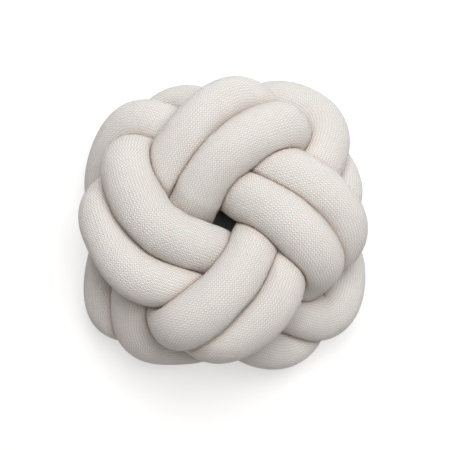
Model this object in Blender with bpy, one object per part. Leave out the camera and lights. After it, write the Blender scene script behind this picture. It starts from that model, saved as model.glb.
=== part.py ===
"""A knot cushion: two stuffed knitted tubes, laid side by side and tied as one round, flat knot.

Both tubes follow the same course: three times round the eye in the middle, with four arches over
the top and four under the bottom, passing over and under by turns.  It is the plait known as a
Turk's head.  On the top the first tube lies next to the eye and the second lies outside it.  Each
tube closes on itself, and its join is hidden inside the knot.

Metres, +Z up.  The cushion lies flat on its back, centred over the origin, underside at Z = 0.
"""
import math

import bmesh
import bpy
import numpy as np

# ---------------------------------------------------------------- driving sizes
NAME = "knot_cushion"
MM = 0.001
TUBE_RADIUS = 0.0262          # a free, round stretch of tube
BULGE = 1.13                  # a squeezed tube widens at its free sides by up to this much
GAP = 0.0006                  # left between two stretches that press on each other
MID_HEIGHT = 0.0810           # the knot's middle plane above the ground
REPEAT_TURN = 270.0           # degrees round the eye from one repeat to the next

# Where the middle of each tube runs through one repeat, from the foot of its arch onward.
# columns: place, turn round the eye (degrees), reach out from it (mm), height above the knot's
# middle plane (mm)
FIRST_TUBE = (
    ("in behind the rim", -50, 90, -25),
    ("up behind the rim", -35, 103, 15),
    ("over the shoulder", -27, 102, 46),
    ("top of the arch", 0, 65, 58),
    ("beside the eye", 60, 34, 42),
    ("under the next band", 98, 55, 18),
    ("out below that band", 120, 98, 5),
    ("round the rim", 136, 137, -14),
    ("down the side", 154, 134, -40),
    ("on to the underside", 172, 114, -56),
    ("along the underside", 195, 92, -55),
)
SECOND_TUBE = (
    ("out again below", -23, 88, -16),
    ("up the rim", -10, 118, 15),
    ("over the shoulder", 5, 117, 38),
    ("top of the arch", 30, 95, 48),
    ("going under the next band", 60, 71, 34),
    ("under the next band", 82, 85, 8),
    ("out below that band", 101, 117, -18),
    ("down the side", 118, 137, -42),
    ("on to the underside", 138, 112, -58),
    ("along the underside", 165, 68, -59),
    ("beside the eye, underneath", 213, 44, -36),
)

# The knot is tied by hand and lies a little unevenly.  Seen from above, the course is pushed out
# from the eye and turned round it by about these amounts, and smoothly in between.
# columns: direction (degrees, in even steps round the eye), push out (mm), turn (degrees)
UNEVEN = (
    (0, -5, 1),
    (45, 6, 0),
    (90, 2, 0),
    (135, 1, -3),
    (180, 7, 3),
    (225, 2, 2),
    (270, -2, -3),
    (315, 1, 3),
)
FULL_PUSH = 0.060             # from this reach outward the push is whole

# The four bands that show on top, one to a repeat, in the order in which the course runs
BANDS = ("right", "lower", "left", "upper")

# Some places lie off the even plait by more than that, where the knot was pulled tight by hand.
# columns: tube, band, place, push out (mm), turn (degrees), lift (mm)
TIED_BY_HAND = (
    ("first", "right", "up behind the rim", -4, 4, 0),
    ("first", "right", "over the shoulder", -4, 5, 0),
    ("first", "right", "top of the arch", -3, 0, 3),
    ("first", "right", "round the rim", 2, -2, 0),
    ("second", "right", "over the shoulder", -4, 0, 0),
    ("second", "right", "top of the arch", -12, 0, 0),
    ("second", "right", "going under the next band", -4, 0, 0),
    ("second", "right", "down the side", -4, 0, 0),
    ("first", "lower", "in behind the rim", 0, 0, -6),
    ("first", "lower", "up behind the rim", 4, 5, 0),
    ("first", "lower", "over the shoulder", 6, 6, 6),
    ("first", "lower", "top of the arch", 4, 4, 3),
    ("first", "lower", "beside the eye", 6, 0, 0),
    ("first", "lower", "out below that band", 0, 0, 10),
    ("first", "lower", "round the rim", 4, 0, 0),
    ("first", "lower", "down the side", 7, 3, 0),
    ("second", "lower", "up the rim", -4, 0, 0),
    ("second", "lower", "over the shoulder", -4, 0, 0),
    ("second", "lower", "top of the arch", -3, 0, 0),
    ("second", "lower", "down the side", -12, 0, 0),
    ("first", "left", "over the shoulder", 7, -1, 0),
    ("first", "left", "top of the arch", 3, 0, 0),
    ("first", "left", "out below that band", -6, 2, -13),
    ("first", "left", "round the rim", 0, 0, -14),
    ("second", "left", "over the shoulder", -4, 0, 0),
    ("second", "left", "top of the arch", 4, 0, 0),
    ("second", "left", "going under the next band", 7, 0, 0),
    ("first", "upper", "beside the eye", 5, 0, 0),
    ("first", "upper", "round the rim", 0, 3, -9),
    ("first", "upper", "down the side", -3, 0, 0),
    ("second", "upper", "up the rim", 0, -3, 0),
    ("second", "upper", "over the shoulder", 1, -4, 0),
    ("second", "upper", "top of the arch", -4, -5, 0),
    ("second", "upper", "going under the next band", 6, 5, -2),
    ("second", "upper", "out below that band", -3, 0, -8),
    ("second", "upper", "down the side", 7, 6, 0),
)

# The yarn: an undyed grey-beige wool
YARN_COLOUR = (0.70, 0.665, 0.625, 1.0)
YARN_ROUGHNESS = 0.95

# How finely the tubes are worked out
RINGS = 176                   # cross-sections along one tube
SIDES = 16                    # corners of one cross-section
COURSE_POINTS = 420           # places along a tube that can press on another stretch
CURVE_STEPS = 20              # steps from one row of a table to the next, for measuring length
OWN_STRETCH = 0.115           # nearer than this along it, a tube's own stretch only bends away
SAME_PLACE = 0.004            # and nearer than this it counts as the same place
BEND_SHARE = 0.85             # of the way in to the middle of a tight bend, filled by the tube
NEIGHBOUR_REACH = 0.130       # only stretches nearer than this can press
FAR = 1.0                     # stands for "nothing in the way"
SETTLE_STEPS = 40
SOFT_AROUND = 0.22            # how softly a pressed edge turns, in radians round the tube
SOFT_ALONG = 0.006            # and along it
FASTEST_FILL = 1.06           # the most a section grows in one step
FLATTEN_STEPS = 12            # passes that draw flat facets back inside the limits


# ---------------------------------------------------------------- the course of a tube
def stations(name, table):
    """The middle of one tube at each row of its table, for every repeat."""
    by_hand = {row[:3]: row[3:] for row in TIED_BY_HAND}
    points = []
    for repeat, band in enumerate(BANDS):
        for place, turn, reach, height in table:
            push, twist, lift = by_hand.get((name, band, place), (0, 0, 0))
            angle = math.radians(turn + twist + repeat * REPEAT_TURN)
            x = (reach + push) * MM * math.cos(angle)
            y = (reach + push) * MM * math.sin(angle)
            points.append((x, y, (height + lift) * MM))
    return np.array(points)


def cubic(control, place):
    """Points of a closed cubic B-spline, at places counted in control points."""
    total = len(control)
    first = np.floor(place).astype(int)
    t = (place - first)[:, None]
    mix = (1 - t) ** 3 * control[(first - 1) % total]
    mix += (3 * t ** 3 - 6 * t ** 2 + 4) * control[first % total]
    mix += (-3 * t ** 3 + 3 * t ** 2 + 3 * t + 1) * control[(first + 1) % total]
    mix += t ** 3 * control[(first + 2) % total]
    return mix / 6


def lie_unevenly(points):
    """Push and turn the course in plan by its uneven lie, and lift it to its height."""
    rows = np.array(UNEVEN, dtype=float)
    turn = np.arctan2(points[:, 1], points[:, 0])
    reach = np.hypot(points[:, 0], points[:, 1])
    shift = cubic(rows[:, 1:], turn / (2 * math.pi) * len(rows))
    reach = reach + shift[:, 0] * MM * np.minimum(1.0, reach / FULL_PUSH)
    turn = turn + np.radians(shift[:, 1])
    x = reach * np.cos(turn)
    y = reach * np.sin(turn)
    return np.stack((x, y, points[:, 2] + MID_HEIGHT), axis=1)


def course(tube, count):
    """A tube's middle: a smooth closed curve through its stations, in even steps, and its length."""
    name, table = tube
    points = lie_unevenly(stations(name, table))
    total = len(points)
    wave = np.cos(2 * np.pi * np.arange(total) / total)
    spectrum = np.fft.fft(points, axis=0) / ((2 + wave) / 3)[:, None]
    control = np.fft.ifft(spectrum, axis=0).real
    fine = cubic(control, np.arange(CURVE_STEPS * total) / CURVE_STEPS)
    steps = np.linalg.norm(np.roll(fine, -1, axis=0) - fine, axis=1)
    run = np.concatenate(([0.0], np.cumsum(steps)))
    wanted = np.arange(count) * run[-1] / count
    place = np.interp(wanted, run, np.arange(len(run)) / CURVE_STEPS)
    return cubic(control, place), run[-1]


def cross_directions(middle):
    """Two directions across the tube at each ring, carried along it and closed without a step."""
    ahead = np.roll(middle, -1, axis=0) - np.roll(middle, 1, axis=0)
    ahead /= np.linalg.norm(ahead, axis=1)[:, None]
    side = np.cross(ahead[0], (0.0, 0.0, 1.0))
    across = np.zeros_like(middle)
    for ring, direction in enumerate(ahead):
        side = side - direction * side.dot(direction)
        side /= np.linalg.norm(side)
        across[ring] = side
    other = np.cross(ahead, across)
    returned = side - ahead[0] * side.dot(ahead[0])
    twist = math.atan2(returned.dot(other[0]), returned.dot(across[0]))
    turn = -twist * np.arange(len(middle)) / len(middle)
    cos = np.cos(turn)[:, None]
    sin = np.sin(turn)[:, None]
    return across * cos + other * sin, other * cos - across * sin


# ---------------------------------------------------------------- pressing and filling
def ray_limits(middle, rays, length, own, other):
    """How far each ray runs before the plane half way to another stretch."""
    count = len(middle)
    presses = np.concatenate((own, other))
    own_run = np.arange(len(own)) * length / len(own)
    other_run = np.full(len(other), length / 2)
    limits = np.full(rays.shape[:2], FAR)
    for ring, centre in enumerate(middle):
        along = np.abs(own_run - ring * length / count)
        along = np.concatenate((np.minimum(along, length - along), other_run))
        offset = presses - centre
        distance = np.linalg.norm(offset, axis=1)
        counts = (distance < NEIGHBOUR_REACH) & (along > SAME_PLACE)
        pressed = (distance - GAP) * distance / 2
        bending = distance ** 2 * BEND_SHARE / 2
        room = np.where(along > OWN_STRETCH, pressed, bending)[counts]
        facing = rays[ring] @ offset[counts].T
        reach = np.where(facing > 0, room / np.where(facing > 0, facing, 1.0), FAR)
        limits[ring] = np.minimum(FAR, reach.min(axis=1))
    return limits


def ground_limits(middle, rays):
    """How far each ray runs before it meets the ground."""
    falling = -rays[:, :, 2]
    return np.where(falling > 0, middle[:, 2:3] / np.where(falling > 0, falling, 1.0), FAR)


def fill_out(limits, length):
    """Radius along each ray: the tube fills to its girth within its limits, with soft edges."""
    rings, sides = limits.shape
    along = np.fft.fftfreq(rings, length / rings) * 2 * np.pi
    around = np.fft.rfftfreq(sides, 1.0 / sides)
    blur = np.exp(-((along * SOFT_ALONG)[:, None] ** 2 + (around * SOFT_AROUND)[None] ** 2) / 2)
    radius = np.minimum(limits, TUBE_RADIUS)
    for _step in range(SETTLE_STEPS):
        radius = np.fft.irfft2(np.fft.rfft2(radius) * blur, s=limits.shape)
        fill = TUBE_RADIUS / np.sqrt((radius ** 2).mean(axis=1))
        radius = radius * np.clip(fill, 1.0, FASTEST_FILL)[:, None]
        radius = np.minimum(radius, TUBE_RADIUS * BULGE)
        radius = np.minimum(radius, limits)
    return radius


def place_surface(middle, rays, radius):
    """The points at the ends of the rays."""
    return middle[:, None] + rays * radius[:, :, None]


def draw_in_facets(radius, middle, rays, limits):
    """Shorten rays until the middle of each edge and diagonal lies inside the limits too.

    The middle, rays and limits are twice as fine as the radius, so each facet's middle has its own.
    """
    spans = ((1, 0), (0, 1), (1, 1), (1, -1))
    for _step in range(FLATTEN_STEPS):
        for ahead, beside in spans:
            surface = place_surface(middle[::2], rays[::2, ::2], radius)
            half_way = (surface + np.roll(surface, (-ahead, -beside), axis=(0, 1))) / 2
            centre = np.roll(middle, -ahead, axis=0)[::2]
            limit = np.roll(limits, (-ahead, -beside), axis=(0, 1))[::2, ::2]
            reach = np.linalg.norm(half_way - centre[:, None], axis=2)
            excess = np.maximum(reach - limit, 0.0)
            radius = radius - excess - np.roll(excess, (ahead, beside), axis=(0, 1))
    return radius


def tube_surface(this, neighbour):
    """The surface points of one tube, as a closed grid of rings by sides."""
    middle, length = course(this, 2 * RINGS)
    own, _length = course(this, COURSE_POINTS)
    other, _length = course(neighbour, COURSE_POINTS)
    across, up = cross_directions(middle)
    angle = (np.arange(2 * SIDES) * np.pi / SIDES)[None, :, None]
    rays = across[:, None] * np.cos(angle) + up[:, None] * np.sin(angle)
    limits = ray_limits(middle, rays, length, own, other)
    ground = ground_limits(middle[::2], rays[::2, ::2])
    radius = fill_out(np.minimum(limits[::2, ::2], ground), length)
    radius = draw_in_facets(radius, middle, rays, limits)
    return place_surface(middle[::2], rays[::2, ::2], radius)


# ---------------------------------------------------------------- objects
def yarn_material(name):
    material = bpy.data.materials.new(name)
    material.use_nodes = True
    shader = material.node_tree.nodes["Principled BSDF"]
    shader.inputs["Base Color"].default_value = YARN_COLOUR
    shader.inputs["Roughness"].default_value = YARN_ROUGHNESS
    shader.inputs["Metallic"].default_value = 0.0
    return material


def tube_object(name, surface, collection):
    """One stuffed tube: a loft round its unlike cross-sections, closed on itself."""
    rings, sides = surface.shape[:2]
    shape = bmesh.new()
    corners = [[shape.verts.new(point) for point in ring] for ring in surface]
    for ring in range(rings):
        here = corners[ring]
        ahead = corners[(ring + 1) % rings]
        for side in range(sides):
            beside = (side + 1) % sides
            shape.faces.new((here[side], here[beside], ahead[beside], ahead[side]))
    bmesh.ops.recalc_face_normals(shape, faces=shape.faces)
    mesh = bpy.data.meshes.new(name)
    shape.to_mesh(mesh)
    shape.free()
    mesh.shade_smooth()
    mesh.materials.append(yarn_material(name + "_yarn"))
    tube = bpy.data.objects.new(name, mesh)
    collection.objects.link(tube)
    return tube


def build():
    for leftover in list(bpy.data.objects):
        bpy.data.objects.remove(leftover)
    collection = bpy.data.collections.new(NAME)
    bpy.context.scene.collection.children.link(collection)
    first_tube = ("first", FIRST_TUBE)
    second_tube = ("second", SECOND_TUBE)
    first = tube_surface(first_tube, second_tube)
    second = tube_surface(second_tube, first_tube)
    both = np.concatenate((first, second)).reshape(-1, 3)
    centre = (both.min(axis=0) + both.max(axis=0)) / 2
    centre[2] = both[:, 2].min()
    tube_object("first_tube", first - centre, collection)
    tube_object("second_tube", second - centre, collection)


build()
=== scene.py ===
"""The knot cushion as photographed: two stuffed knitted tubes in a flat knot, on its back.

The tubes follow the same course as the CAD solids that they replace, worked out more finely.  Each
carries its own knit: wales along the tube and courses round it, closer together on the inside of a
bend and further apart on the outside, as on the real sleeve.
"""
import math

import bpy
import numpy as np
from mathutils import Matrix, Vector


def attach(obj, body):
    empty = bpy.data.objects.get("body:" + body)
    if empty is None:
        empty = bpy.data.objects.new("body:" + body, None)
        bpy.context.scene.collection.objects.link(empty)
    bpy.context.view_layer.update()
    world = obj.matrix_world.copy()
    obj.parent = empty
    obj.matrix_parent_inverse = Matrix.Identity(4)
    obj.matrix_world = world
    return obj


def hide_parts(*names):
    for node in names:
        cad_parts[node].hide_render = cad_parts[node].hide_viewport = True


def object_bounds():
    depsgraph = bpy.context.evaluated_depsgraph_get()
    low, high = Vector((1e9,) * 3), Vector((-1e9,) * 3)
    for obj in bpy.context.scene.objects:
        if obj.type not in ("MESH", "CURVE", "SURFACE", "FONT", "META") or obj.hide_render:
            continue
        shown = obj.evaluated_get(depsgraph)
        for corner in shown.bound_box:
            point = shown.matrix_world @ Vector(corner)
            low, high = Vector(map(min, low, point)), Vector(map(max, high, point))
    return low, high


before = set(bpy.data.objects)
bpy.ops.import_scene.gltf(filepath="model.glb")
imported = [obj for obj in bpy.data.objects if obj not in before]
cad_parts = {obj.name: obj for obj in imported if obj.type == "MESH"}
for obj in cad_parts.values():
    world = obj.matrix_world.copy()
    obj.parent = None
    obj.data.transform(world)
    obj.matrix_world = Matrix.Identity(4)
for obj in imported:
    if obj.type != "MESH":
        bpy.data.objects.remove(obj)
cad_low, cad_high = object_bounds()

# ---------------------------------------------------------------- the course, with the CAD's values
MM = 0.001
TUBE_RADIUS = 0.0262          # a free, round stretch of tube
BULGE = 1.13                  # a squeezed tube widens at its free sides by up to this much
GAP = 0.0006                  # left between two stretches that press on each other
MID_HEIGHT = 0.0810           # the knot's middle plane above the ground
REPEAT_TURN = 270.0           # degrees round the eye from one repeat to the next

# Where the middle of each tube runs through one repeat, from the foot of its arch onward.
# columns: place, turn round the eye (degrees), reach out from it (mm), height above the knot's
# middle plane (mm)
FIRST_TUBE = (
    ("in behind the rim", -50, 90, -25),
    ("up behind the rim", -35, 103, 15),
    ("over the shoulder", -27, 102, 46),
    ("top of the arch", 0, 65, 58),
    ("beside the eye", 60, 34, 42),
    ("under the next band", 98, 55, 18),
    ("out below that band", 120, 98, 5),
    ("round the rim", 136, 137, -14),
    ("down the side", 154, 134, -40),
    ("on to the underside", 172, 114, -56),
    ("along the underside", 195, 92, -55),
)
SECOND_TUBE = (
    ("out again below", -23, 88, -16),
    ("up the rim", -10, 118, 15),
    ("over the shoulder", 5, 117, 38),
    ("top of the arch", 30, 95, 48),
    ("going under the next band", 60, 71, 34),
    ("under the next band", 82, 85, 8),
    ("out below that band", 101, 117, -18),
    ("down the side", 118, 137, -42),
    ("on to the underside", 138, 112, -58),
    ("along the underside", 165, 68, -59),
    ("beside the eye, underneath", 213, 44, -36),
)

# The knot is tied by hand and lies a little unevenly.  Seen from above, the course is pushed out
# from the eye and turned round it by about these amounts, and smoothly in between.
# columns: direction (degrees, in even steps round the eye), push out (mm), turn (degrees)
UNEVEN = (
    (0, -5, 1),
    (45, 6, 0),
    (90, 2, 0),
    (135, 1, -3),
    (180, 7, 3),
    (225, 2, 2),
    (270, -2, -3),
    (315, 1, 3),
)
FULL_PUSH = 0.060             # from this reach outward the push is whole

# The four bands that show on top, one to a repeat, in the order in which the course runs
BANDS = ("right", "lower", "left", "upper")

# Some places lie off the even plait by more than that, where the knot was pulled tight by hand.
# columns: tube, band, place, push out (mm), turn (degrees), lift (mm)
TIED_BY_HAND = (
    ("first", "right", "up behind the rim", -4, 4, 0),
    ("first", "right", "over the shoulder", -4, 5, 0),
    ("first", "right", "top of the arch", -3, 0, 3),
    ("first", "right", "round the rim", 2, -2, 0),
    ("second", "right", "over the shoulder", -4, 0, 0),
    ("second", "right", "top of the arch", -12, 0, 0),
    ("second", "right", "going under the next band", -4, 0, 0),
    ("second", "right", "down the side", -4, 0, 0),
    ("first", "lower", "in behind the rim", 0, 0, -6),
    ("first", "lower", "up behind the rim", 4, 5, 0),
    ("first", "lower", "over the shoulder", 6, 6, 6),
    ("first", "lower", "top of the arch", 4, 4, 3),
    ("first", "lower", "beside the eye", 6, 0, 0),
    ("first", "lower", "out below that band", 0, 0, 10),
    ("first", "lower", "round the rim", 4, 0, 0),
    ("first", "lower", "down the side", 7, 3, 0),
    ("second", "lower", "up the rim", -4, 0, 0),
    ("second", "lower", "over the shoulder", -4, 0, 0),
    ("second", "lower", "top of the arch", -3, 0, 0),
    ("second", "lower", "down the side", -12, 0, 0),
    ("first", "left", "over the shoulder", 7, -1, 0),
    ("first", "left", "top of the arch", 3, 0, 0),
    ("first", "left", "out below that band", -6, 2, -13),
    ("first", "left", "round the rim", 0, 0, -14),
    ("second", "left", "over the shoulder", -4, 0, 0),
    ("second", "left", "top of the arch", 4, 0, 0),
    ("second", "left", "going under the next band", 7, 0, 0),
    ("first", "upper", "beside the eye", 5, 0, 0),
    ("first", "upper", "round the rim", 0, 3, -9),
    ("first", "upper", "down the side", -3, 0, 0),
    ("second", "upper", "up the rim", 0, -3, 0),
    ("second", "upper", "over the shoulder", 1, -4, 0),
    ("second", "upper", "top of the arch", -4, -5, 0),
    ("second", "upper", "going under the next band", 6, 5, -2),
    ("second", "upper", "out below that band", -3, 0, -8),
    ("second", "upper", "down the side", 7, 6, 0),
)

# How finely the tubes are worked out: more rings and sides than the CAD's, and sharper seams
RINGS = 900                   # cross-sections along one tube
SIDES = 72                    # corners of one cross-section
COURSE_POINTS = 420           # places along a tube that can press on another stretch
CURVE_STEPS = 20              # steps from one row of a table to the next, for measuring length
OWN_STRETCH = 0.115           # nearer than this along it, a tube's own stretch only bends away
SAME_PLACE = 0.004            # and nearer than this it counts as the same place
BEND_SHARE = 0.85             # of the way in to the middle of a tight bend, filled by the tube
NEIGHBOUR_REACH = 0.130       # only stretches nearer than this can press
FAR = 1.0                     # stands for "nothing in the way"
SETTLE_STEPS = 40             # rounds of smoothing, filling and pressing
SOFT_AROUND = 0.14            # how softly a pressed edge turns, in radians round the tube
SOFT_ALONG = 0.0045           # and along it
FASTEST_FILL = 1.06           # the most a section grows in one step

# ---------------------------------------------------------------- the knit
WALES = 52                    # lengthwise columns of stitches, counted round a tube
STITCH_LENGTH = 0.0027        # from one course, a row round the tube, to the next
# The yarn is undyed grey-beige wool: light where it stands up, and dark in the gaps between
# stitches as painted shade.
YARN_LIGHT = (0.808, 0.783, 0.75, 1.0)
YARN_GAP_SHADE = (0.39, 0.35, 0.317, 1.0)
YARN_ROUGHNESS = 0.95
SHEEN = 0.25                  # short fibres that catch the light at the rims
SHEEN_ROUGHNESS = 0.6
GLOSS = 0.15                  # specular level, low because wool is matt
HEIGHT_SHADE = 1.05           # shares of the yarn's lightness: height in the stitch, as painted shade in the gaps,
STITCH_SHADE = 0.06           # chance from stitch to stitch,
FIBRE_SHADE = 0.16            # fibres,
CLOTH_SHADE = 0.08            # and slow change over the cloth
FIBRE_LUMPS = 1100.0          # lumps of the noise a metre
FIBRE_DETAIL = 3              # and its octaves
CLOTH_LUMPS = 45.0
CLOTH_DETAIL = 2
STITCH_DEPTH = 0.0009         # how deep the gaps between stitches look, by bump
BUMP_STRENGTH = 0.8
STITCH_SLANT = 1.0            # how far the legs of a stitch lean, in courses a half wale
WALE_SHARE = 0.58             # how far the yarn drops from the back of a wale to the gap beside it
LEG_ROUND = 1.2               # over 1 for legs that are narrow beside the gaps between them
PAINTED_SHADE_REACH = 0.005          # how far from where two stretches press the painted, browner shade fades by two thirds
# painted shade: what the colour is multiplied by, darker and browner, where two stretches press
# together
CREASE_PAINTED_SHADE = (0.86, 0.77, 0.71, 1.0)

FIRST_NODE = "first_tube"
SECOND_NODE = "second_tube"

# ---------------------------------------------------------------- camera and light
PHOTO_SIZE = 450              # pixels a side
KNOT_CENTRE_PX = (226, 225)   # where the knot's middle is in the photograph
CAMERA_ELEVATION = 86.0       # degrees above the horizon
CAMERA_DISTANCE = 1.65
PIXELS_PER_METRE = 949.0      # at the middle of the knot
AIM_HEIGHT = 0.082            # of that middle, before the tubes are set down on the floor
SENSOR = 36.0
FLOOR_SIZE = 6.0
FLOOR_ROUGHNESS = 0.9
FLOOR_COLOUR = (0.45, 0.45, 0.45, 1.0)
FLOOR_GLOW = 0.53             # painted light: the floor glows like a light table, so the cushion's shadow on it is faint
FLOOR_GLOW_COLOUR = (0.99, 0.98, 0.97, 1.0)
# from none to all of the painted glow between these distances from the middle, none under the
# cushion
DARK_UNDER_CUSHION = (0.07, 0.13)
WORLD_LIGHT = 0.11            # a weak warm fill for the shade
WORLD_COLOUR = (1.0, 0.72, 0.58, 1.0)
LAMP_COLOUR = (0.97, 0.99, 1.0)
# columns: name, place (m), size (m), power (W)
LAMPS = (
    ("key_lamp", (0.6, 1.0, 3.8), 3.0, 215),
    ("top_lamp", (0.0, 2.6, 3.1), 2.0, 28),
)


# ---------------------------------------------------------------- the course of a tube
def stations(name, table):
    """The middle of one tube at each row of its table, for every repeat."""
    by_hand = {row[:3]: row[3:] for row in TIED_BY_HAND}
    points = []
    for repeat, band in enumerate(BANDS):
        for place, turn, reach, height in table:
            push, twist, lift = by_hand.get((name, band, place), (0, 0, 0))
            angle = math.radians(turn + twist + repeat * REPEAT_TURN)
            x = (reach + push) * MM * math.cos(angle)
            y = (reach + push) * MM * math.sin(angle)
            points.append((x, y, (height + lift) * MM))
    return np.array(points)


def cubic(control, place):
    """Points of a closed cubic B-spline, at places counted in control points."""
    total = len(control)
    first = np.floor(place).astype(int)
    t = (place - first)[:, None]
    mix = (1 - t) ** 3 * control[(first - 1) % total]
    mix += (3 * t ** 3 - 6 * t ** 2 + 4) * control[first % total]
    mix += (-3 * t ** 3 + 3 * t ** 2 + 3 * t + 1) * control[(first + 1) % total]
    mix += t ** 3 * control[(first + 2) % total]
    return mix / 6


def lie_unevenly(points):
    """Push and turn the course in plan by its uneven lie, and lift it to its height."""
    rows = np.array(UNEVEN, dtype=float)
    turn = np.arctan2(points[:, 1], points[:, 0])
    reach = np.hypot(points[:, 0], points[:, 1])
    shift = cubic(rows[:, 1:], turn / (2 * math.pi) * len(rows))
    reach = reach + shift[:, 0] * MM * np.minimum(1.0, reach / FULL_PUSH)
    turn = turn + np.radians(shift[:, 1])
    x = reach * np.cos(turn)
    y = reach * np.sin(turn)
    return np.stack((x, y, points[:, 2] + MID_HEIGHT), axis=1)


def course(tube, count):
    """A tube's middle, in even steps on a smooth closed curve through its stations, and its
    length."""
    name, table = tube
    points = lie_unevenly(stations(name, table))
    total = len(points)
    wave = np.cos(2 * np.pi * np.arange(total) / total)
    spectrum = np.fft.fft(points, axis=0) / ((2 + wave) / 3)[:, None]
    control = np.fft.ifft(spectrum, axis=0).real
    fine = cubic(control, np.arange(CURVE_STEPS * total) / CURVE_STEPS)
    steps = np.linalg.norm(np.roll(fine, -1, axis=0) - fine, axis=1)
    run = np.concatenate(([0.0], np.cumsum(steps)))
    wanted = np.arange(count) * run[-1] / count
    place = np.interp(wanted, run, np.arange(len(run)) / CURVE_STEPS)
    return cubic(control, place), run[-1]


def cross_directions(middle):
    """Two directions across the tube at each ring, carried along it and closed without a step."""
    ahead = np.roll(middle, -1, axis=0) - np.roll(middle, 1, axis=0)
    ahead /= np.linalg.norm(ahead, axis=1)[:, None]
    side = np.cross(ahead[0], (0.0, 0.0, 1.0))
    across = np.zeros_like(middle)
    for ring, direction in enumerate(ahead):
        side = side - direction * side.dot(direction)
        side /= np.linalg.norm(side)
        across[ring] = side
    other = np.cross(ahead, across)
    returned = side - ahead[0] * side.dot(ahead[0])
    twist = math.atan2(returned.dot(other[0]), returned.dot(across[0]))
    turn = -twist * np.arange(len(middle)) / len(middle)
    cos = np.cos(turn)[:, None]
    sin = np.sin(turn)[:, None]
    return across * cos + other * sin, other * cos - across * sin


# ---------------------------------------------------------------- pressing and filling
def ray_limits(middle, rays, length, own, other):
    """How far each ray runs before the plane half way to another stretch."""
    count = len(middle)
    presses = np.concatenate((own, other))
    own_run = np.arange(len(own)) * length / len(own)
    other_run = np.full(len(other), length / 2)
    limits = np.full(rays.shape[:2], FAR)
    for ring, centre in enumerate(middle):
        along = np.abs(own_run - ring * length / count)
        along = np.concatenate((np.minimum(along, length - along), other_run))
        offset = presses - centre
        distance = np.linalg.norm(offset, axis=1)
        counts = (distance < NEIGHBOUR_REACH) & (along > SAME_PLACE)
        pressed = (distance - GAP) * distance / 2
        bending = distance ** 2 * BEND_SHARE / 2
        room = np.where(along > OWN_STRETCH, pressed, bending)[counts]
        facing = rays[ring] @ offset[counts].T
        reach = np.where(facing > 0, room / np.where(facing > 0, facing, 1.0), FAR)
        limits[ring] = np.minimum(FAR, reach.min(axis=1))
    return limits


def ground_limits(middle, rays):
    """How far each ray runs before it meets the ground."""
    falling = -rays[:, :, 2]
    return np.where(falling > 0, middle[:, 2:3] / np.where(falling > 0, falling, 1.0), FAR)


def fill_out(limits, length):
    """Radius along each ray: the tube fills to its girth within its limits, with soft edges."""
    rings, sides = limits.shape
    along = np.fft.fftfreq(rings, length / rings) * 2 * np.pi
    around = np.fft.rfftfreq(sides, 1.0 / sides)
    blur = np.exp(-((along * SOFT_ALONG)[:, None] ** 2 + (around * SOFT_AROUND)[None] ** 2) / 2)
    radius = np.minimum(limits, TUBE_RADIUS)
    for _step in range(SETTLE_STEPS):
        radius = np.fft.irfft2(np.fft.rfft2(radius) * blur, s=limits.shape)
        fill = TUBE_RADIUS / np.sqrt((radius ** 2).mean(axis=1))
        radius = radius * np.clip(fill, 1.0, FASTEST_FILL)[:, None]
        radius = np.minimum(radius, TUBE_RADIUS * BULGE)
        radius = np.minimum(radius, limits)
    return radius


def tube_surface(this, neighbour):
    """The surface points of one tube, as a closed grid of rings by sides, and how much painted
    shade each gets, from 0 to 1, near where it presses on another stretch, with the tube's length."""
    middle, length = course(this, RINGS)
    own, _length = course(this, COURSE_POINTS)
    other, _length = course(neighbour, COURSE_POINTS)
    across, up = cross_directions(middle)
    angle = (np.arange(SIDES) * 2 * np.pi / SIDES)[None, :, None]
    rays = across[:, None] * np.cos(angle) + up[:, None] * np.sin(angle)
    limits = np.minimum(ray_limits(middle, rays, length, own, other), ground_limits(middle, rays))
    radius = fill_out(limits, length)
    # painted shade: 1 where a stretch presses on another, fading away from there
    painted_crease_shade = np.exp((radius - limits) / PAINTED_SHADE_REACH)
    return middle[:, None] + rays * radius[:, :, None], painted_crease_shade, length


def knit_places(surface, length):
    """Where the corners lie in the knit: stitches counted round the tube and along it."""
    rings = surface.shape[0]
    steps = np.linalg.norm(np.roll(surface, -1, axis=1) - surface, axis=2)
    run = np.concatenate((np.zeros((rings, 1)), np.cumsum(steps, axis=1)), axis=1)
    around = run / run[:, -1:] * WALES
    around = np.concatenate((around, around[:1]))
    courses = round(length / STITCH_LENGTH)
    along = np.arange(rings + 1) * courses / rings
    return around, along


def tube_object(name, surface, painted_crease_shade, length, material):
    """One knitted tube, with its knit laid out as a UV map counted in stitches."""
    rings, sides = surface.shape[:2]
    ring = np.arange(rings)[:, None]
    side = np.arange(sides)[None, :]
    next_ring = (ring + 1) % rings
    next_side = (side + 1) % sides
    corners = np.stack((ring * sides + side, ring * sides + next_side,
                        next_ring * sides + next_side, next_ring * sides + side), axis=2)
    around, along = knit_places(surface, length)
    across = np.stack((around[:-1, :-1], around[:-1, 1:], around[1:, 1:], around[1:, :-1]), axis=2)
    down = np.stack((along[:-1], along[:-1], along[1:], along[1:]), axis=1)
    down = np.broadcast_to(down[:, None], across.shape)
    mesh = bpy.data.meshes.new(name)
    mesh.from_pydata(surface.reshape(-1, 3).tolist(), [], corners.reshape(-1, 4).tolist())
    places = mesh.uv_layers.new(name="knit")
    places.data.foreach_set("uv", np.stack((across, down), axis=3).astype(np.float32).ravel())
    # painted shade where the tube presses on another stretch, kept on the mesh for the material
    shade_amounts = mesh.attributes.new(name="painted_crease_shade", type="FLOAT", domain="POINT")
    shade_amounts.data.foreach_set("value", painted_crease_shade.astype(np.float32).ravel())
    mesh.shade_smooth()
    mesh.materials.append(material)
    tube = bpy.data.objects.new(name, mesh)
    bpy.context.scene.collection.objects.link(tube)
    return tube


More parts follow.
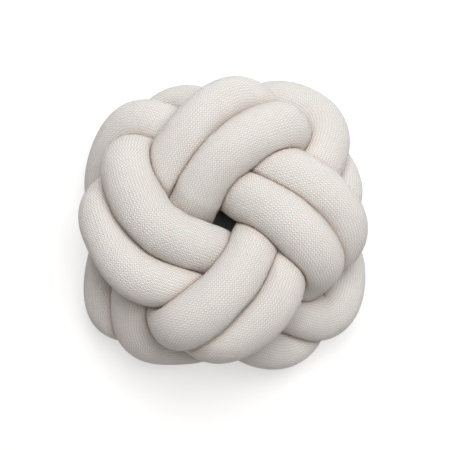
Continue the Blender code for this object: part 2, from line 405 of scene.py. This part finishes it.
# ---------------------------------------------------------------- the knit's look
def calculate(nodes, links, operation, first, second=None):
    """The result of a Math node, whose inputs are each another node's output or a number."""
    node = nodes.new("ShaderNodeMath")
    node.operation = operation
    for socket, value in zip(node.inputs, (first, second)):
        if value is None:
            continue
        if isinstance(value, (int, float)):
            socket.default_value = value
        else:
            links.new(value, socket)
    return node.outputs[0]


def stitch_height(nodes, links):
    """How high the yarn stands, 0 to 1: each stitch is a V of two slanting legs in its wale."""
    def step(operation, first, second=None):
        return calculate(nodes, links, operation, first, second)

    knit = nodes.new("ShaderNodeUVMap")
    knit.uv_map = "knit"
    apart = nodes.new("ShaderNodeSeparateXYZ")
    links.new(knit.outputs["UV"], apart.inputs[0])
    around, along = apart.outputs[0], apart.outputs[1]
    # the wale: high along its middle, lower in the gap to the next one
    off_middle = step("ABSOLUTE", step("SUBTRACT", step("FRACT", around), 0.5))
    wale_rise = step("COSINE", step("MULTIPLY", off_middle, math.pi))
    wale = step("ADD", step("MULTIPLY", wale_rise, WALE_SHARE), 1 - WALE_SHARE)
    # the legs: rows that slant away from the middle of the wale to both sides
    slant = step("MULTIPLY", off_middle, 2 * STITCH_SLANT)
    leg = step("FRACT", step("SUBTRACT", along, slant))
    leg_rise = step("SINE", step("MULTIPLY", leg, math.pi))
    return step("MULTIPLY", wale, step("POWER", leg_rise, LEG_ROUND))


def noise(nodes, links, scale, detail):
    """Noise fixed to the object, with the given number of lumps a metre."""
    place = nodes.new("ShaderNodeTexCoord")
    texture = nodes.new("ShaderNodeTexNoise")
    texture.inputs["Scale"].default_value = scale
    texture.inputs["Detail"].default_value = detail
    links.new(place.outputs["Object"], texture.inputs["Vector"])
    return texture.outputs["Fac"]


def stitch_shade(nodes, links):
    """A chance shade for each stitch, 0 to 1."""
    knit = nodes.new("ShaderNodeUVMap")
    knit.uv_map = "knit"
    stitch = nodes.new("ShaderNodeVectorMath")
    stitch.operation = "FLOOR"
    links.new(knit.outputs["UV"], stitch.inputs[0])
    chance = nodes.new("ShaderNodeTexWhiteNoise")
    chance.noise_dimensions = "2D"
    links.new(stitch.outputs["Vector"], chance.inputs["Vector"])
    return chance.outputs["Value"]


def paint_shade_in_creases(nodes, links, colour):
    """The colour with painted shade: darker and browner where two stretches of tube press on each
    other.
    """
    shade_amount = nodes.new("ShaderNodeAttribute")
    shade_amount.attribute_name = "painted_crease_shade"
    shaded = nodes.new("ShaderNodeMix")
    shaded.data_type = "RGBA"
    shaded.blend_type = "MULTIPLY"
    links.new(shade_amount.outputs["Fac"], shaded.inputs["Factor"])
    links.new(colour, shaded.inputs["A"])
    shaded.inputs["B"].default_value = CREASE_PAINTED_SHADE
    return shaded.outputs["Result"]


def knit_material():
    """Wool jersey: light yarn over gaps darkened by painted shade, each stitch and fibre a little
    unlike the next.
    """
    material = bpy.data.materials.new("knitted_wool")
    material.use_nodes = True
    nodes = material.node_tree.nodes
    links = material.node_tree.links
    shader = nodes["Principled BSDF"]
    shader.inputs["Roughness"].default_value = YARN_ROUGHNESS
    shader.inputs["Sheen Weight"].default_value = SHEEN
    shader.inputs["Sheen Roughness"].default_value = SHEEN_ROUGHNESS
    shader.inputs["Specular IOR Level"].default_value = GLOSS
    height = stitch_height(nodes, links)
    terms = ((height, HEIGHT_SHADE), (stitch_shade(nodes, links), STITCH_SHADE),
             (noise(nodes, links, FIBRE_LUMPS, FIBRE_DETAIL), FIBRE_SHADE),
             (noise(nodes, links, CLOTH_LUMPS, CLOTH_DETAIL), CLOTH_SHADE))
    # the yarn's own chance tones, plus painted shade where the yarn lies low in the stitch
    tone_and_gap_shade = 0.0
    for value, share in terms:
        part = calculate(nodes, links, "MULTIPLY", value, share)
        tone_and_gap_shade = calculate(nodes, links, "ADD", part, tone_and_gap_shade)
    # the dark end is painted shade in the gaps between stitches
    colour = nodes.new("ShaderNodeMix")
    colour.data_type = "RGBA"
    colour.inputs["A"].default_value = YARN_GAP_SHADE
    colour.inputs["B"].default_value = YARN_LIGHT
    links.new(tone_and_gap_shade, colour.inputs["Factor"])
    # the base colour carries painted shade where the tubes press together
    links.new(paint_shade_in_creases(nodes, links, colour.outputs["Result"]), shader.inputs["Base Color"])
    bump = nodes.new("ShaderNodeBump")
    bump.inputs["Distance"].default_value = STITCH_DEPTH
    bump.inputs["Strength"].default_value = BUMP_STRENGTH
    links.new(height, bump.inputs["Height"])
    links.new(bump.outputs["Normal"], shader.inputs["Normal"])
    return material


# ---------------------------------------------------------------- the cushion
def make_cushion():
    """Both tubes, set where the CAD solids are, each replacing its own.  Gives back the shift
    that is subtracted from their course to set them there."""
    first_tube = ("first", FIRST_TUBE)
    second_tube = ("second", SECOND_TUBE)
    first, first_painted_shade, first_length = tube_surface(first_tube, second_tube)
    second, second_painted_shade, second_length = tube_surface(second_tube, first_tube)
    both = np.concatenate((first, second)).reshape(-1, 3)
    shift = (both.min(axis=0) + both.max(axis=0)) / 2
    shift[:2] -= np.array((cad_low + cad_high) / 2)[:2]
    shift[2] = both[:, 2].min()
    material = knit_material()
    tubes = ((FIRST_NODE, first, first_painted_shade, first_length),
             (SECOND_NODE, second, second_painted_shade, second_length))
    for node, surface, painted_crease_shade, length in tubes:
        tube = tube_object(node + "_knit", surface - shift, painted_crease_shade, length, material)
        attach(tube, "root")
        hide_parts(node)
    return shift


# ---------------------------------------------------------------- the studio
def make_floor():
    """A pale matt floor with a painted glow that lightens the cushion's shadow on it, and none of
    it under the cushion.
    """
    bpy.ops.mesh.primitive_plane_add(size=FLOOR_SIZE)
    floor = bpy.context.object
    floor.name = "floor"
    material = bpy.data.materials.new("white_floor")
    material.use_nodes = True
    nodes = material.node_tree.nodes
    links = material.node_tree.links
    shader = nodes["Principled BSDF"]
    shader.inputs["Base Color"].default_value = FLOOR_COLOUR
    shader.inputs["Roughness"].default_value = FLOOR_ROUGHNESS
    shader.inputs["Emission Color"].default_value = FLOOR_GLOW_COLOUR
    place = nodes.new("ShaderNodeTexCoord")
    reach = nodes.new("ShaderNodeVectorMath")
    reach.operation = "LENGTH"
    links.new(place.outputs["Object"], reach.inputs[0])
    # painted light: the floor glows, except under the cushion
    glow = nodes.new("ShaderNodeMapRange")
    glow.inputs["From Min"].default_value = DARK_UNDER_CUSHION[0]
    glow.inputs["From Max"].default_value = DARK_UNDER_CUSHION[1]
    glow.inputs["To Max"].default_value = FLOOR_GLOW
    links.new(reach.outputs["Value"], glow.inputs["Value"])
    links.new(glow.outputs["Result"], shader.inputs["Emission Strength"])
    floor.data.materials.append(material)


def make_light(name, place, size, watts):
    """A soft square lamp aimed at the cushion."""
    data = bpy.data.lights.new(name, "AREA")
    data.energy = watts
    data.size = size
    data.color = LAMP_COLOUR
    lamp = bpy.data.objects.new(name, data)
    lamp.location = place
    aim = Vector((0, 0, MID_HEIGHT)) - lamp.location
    lamp.rotation_euler = aim.to_track_quat("-Z", "Y").to_euler()
    bpy.context.scene.collection.objects.link(lamp)


def set_view():
    """Plain colours, as a catalogue photograph shows them."""
    bpy.context.scene.view_settings.view_transform = "Standard"


def make_world():
    """A weak even light from all round."""
    world = bpy.data.worlds.new("studio")
    world.use_nodes = True
    background = world.node_tree.nodes["Background"]
    background.inputs["Color"].default_value = WORLD_COLOUR
    background.inputs["Strength"].default_value = WORLD_LIGHT
    bpy.context.scene.world = world


def make_camera(knot_middle):
    """The camera of the photograph: over the cushion's face, a little towards its lower edge."""
    data = bpy.data.cameras.new("camera")
    data.sensor_width = SENSOR
    data.lens = PIXELS_PER_METRE * CAMERA_DISTANCE / PHOTO_SIZE * SENSOR
    data.shift_x = (PHOTO_SIZE / 2 - KNOT_CENTRE_PX[0]) / PHOTO_SIZE
    data.shift_y = (KNOT_CENTRE_PX[1] - PHOTO_SIZE / 2) / PHOTO_SIZE
    camera = bpy.data.objects.new("camera", data)
    slope = math.radians(CAMERA_ELEVATION)
    forward = Vector((0.0, math.cos(slope), -math.sin(slope)))
    camera.location = knot_middle - forward * CAMERA_DISTANCE
    camera.rotation_euler = forward.to_track_quat("-Z", "Y").to_euler()
    bpy.context.scene.collection.objects.link(camera)
    bpy.context.scene.camera = camera


shift = make_cushion()
knot_place = Vector((-shift[0], -shift[1], AIM_HEIGHT - shift[2]))
make_floor()
make_world()
set_view()
for lamp_name, lamp_place, lamp_size, lamp_power in LAMPS:
    make_light(lamp_name, lamp_place, lamp_size, lamp_power)
make_camera(knot_place)
